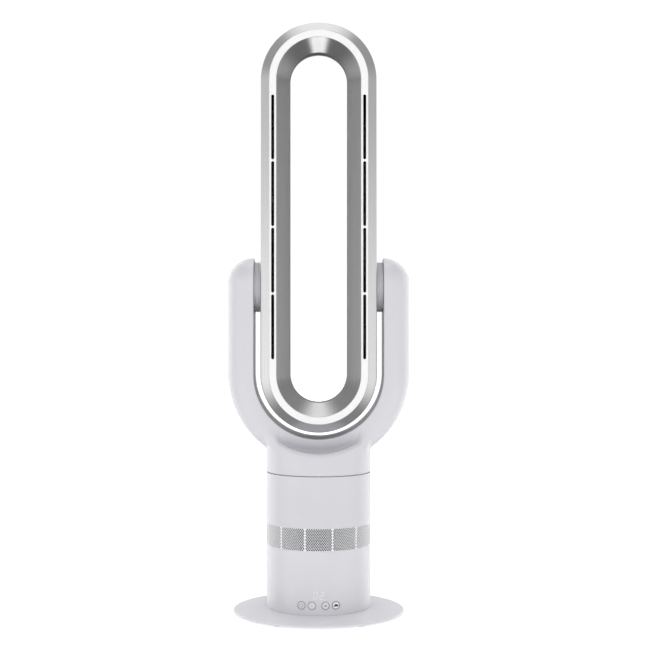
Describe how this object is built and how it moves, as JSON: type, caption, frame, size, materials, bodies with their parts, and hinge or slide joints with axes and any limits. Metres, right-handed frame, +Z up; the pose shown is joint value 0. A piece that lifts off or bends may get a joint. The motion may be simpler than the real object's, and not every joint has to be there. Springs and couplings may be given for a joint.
{
  "type": "bladeless fan",
  "caption": "Tall stadium-shaped air loop tilting in a forked yoke that swings on a round column with intake grille, keys, display and flat round base plate.",
  "frame": {"origin": "middle of the underside of the feet, on the floor", "axes": "+Z up along the column, the air outlet faces -Y, and +X points to the right hand of someone who faces the fan"},
  "size_m": [0.2532, 0.239, 0.8179],
  "materials": {
    "shell_grey": "smooth satin light grey moulded plastic",
    "base_grey": "satin light grey moulded plastic plate",
    "silver_trim": "silver, brushed along the loop",
    "dark_trim": "darker silver, brushed along the loop",
    "pale_trim": "very pale silver grey moulded plastic",
    "loop_shell": "satin pale silver grey moulded plastic",
    "collar_grey": "satin metallic grey moulded plastic",
    "key_white": "translucent white moulded plastic",
    "digit_glow": "diffuse white, lit from behind",
    "black_plastic": "black moulded plastic",
    "grille_grey": "satin light grey moulded plastic",
    "filter_foam": "dark open-cell filter foam",
    "rubber_black": "matt black rubber",
    "steel": "plain zinc-plated steel",
    "iron": "black painted iron",
    "nylon": "natural white engineering plastic",
    "board_green": "green varnished circuit board",
    "part_dark": "black moulded component bodies",
    "brass": "plain brass"
  },
  "bodies": {
    "base": {"base_cover": "base_grey", "ballast_disc": "iron", "rubber_feet": "rubber_black", "base_screws": "steel", "column_floor": "black_plastic", "counterweight": "iron", "lower_housing": "shell_grey", "display_digits": "digit_glow", "display_module": "part_dark", "control_board": "board_green", "key_switches": "part_dark", "key_guide": "nylon", "mains_inlet": "black_plastic", "inlet_pins": "brass", "power_board": "board_green", "power_components": "part_dark", "intake_grille": "grille_grey", "filter_ring": "filter_foam", "motor_deck": "black_plastic", "rubber_mounts": "rubber_black", "bellmouth": "black_plastic", "fan_shroud": "black_plastic", "diffuser": "black_plastic", "motor_can": "steel", "tail_cone": "black_plastic", "duct_seal": "rubber_black", "bearing_plate": "black_plastic", "bearing_screws": "steel", "slide_ring": "nylon", "gear_motor": "steel", "gear_motor_screws": "steel", "upper_housing": "shell_grey"},
    "fan_rotor": {"impeller": "nylon", "motor_shaft": "steel"},
    "swing_pinion": {"drive_pinion": "nylon", "output_shaft": "steel"},
    "power_button": {"power_key": "key_white"},
    "timer_button": {"timer_key": "key_white"},
    "mode_button": {"mode_key": "key_white"},
    "speed_button": {"speed_key": "key_white"},
    "yoke": {"turntable": "black_plastic", "sector_gear": "nylon", "journal_clip": "steel", "turntable_screws": "steel", "yoke_front_shell": "shell_grey", "yoke_rear_shell": "shell_grey", "yoke_screws": "steel", "pivot_bushes": "nylon"},
    "loop": {"loop_rear_shell": "loop_shell", "outer_bezel": "silver_trim", "outlet_frame": "pale_trim", "inner_bezel": "dark_trim", "left_nozzle": "black_plastic", "right_nozzle": "black_plastic", "loop_screws": "steel", "left_trunnion": "collar_grey", "right_trunnion": "collar_grey", "trunnion_washers": "steel", "trunnion_clips": "steel"}
  },
  "joints": [
    {"name": "swing", "type": "hinge", "parent": "base", "child": "yoke", "pos_m": [0, 0, 0.1956], "axis": [0, 0, 1], "range_deg": [-40, 40]},
    {"name": "head_tilt", "type": "hinge", "parent": "yoke", "child": "loop", "pos_m": [0, 0, 0.4533], "axis": [1, 0, 0], "range_deg": [-30, 30]},
    {"name": "impeller_spin", "type": "hinge", "parent": "base", "child": "fan_rotor", "pos_m": [0, 0, 0.142], "axis": [0, 0, 1], "continuous": true},
    {"name": "pinion_turn", "type": "hinge", "parent": "base", "child": "swing_pinion", "pos_m": [0, 0.05389, 0.19], "axis": [0, 0, 1], "range_deg": [-310, 310]},
    {"name": "power_press", "type": "slide", "parent": "base", "child": "power_button", "axis": [0, 1, 0], "range_m": [0, 0.0008], "stiffness_N_per_m": 600, "springref_m": -0.0006},
    {"name": "timer_press", "type": "slide", "parent": "base", "child": "timer_button", "axis": [0, 1, 0], "range_m": [0, 0.0008], "stiffness_N_per_m": 600, "springref_m": -0.0006},
    {"name": "mode_press", "type": "slide", "parent": "base", "child": "mode_button", "axis": [0, 1, 0], "range_m": [0, 0.0008], "stiffness_N_per_m": 600, "springref_m": -0.0006},
    {"name": "speed_press", "type": "slide", "parent": "base", "child": "speed_button", "axis": [0, 1, 0], "range_m": [0, 0.0008], "stiffness_N_per_m": 600, "springref_m": -0.0006}
  ],
  "couplings": [
    {"joint": "pinion_turn", "follows": "swing", "ratio": 7.625}
  ]
}
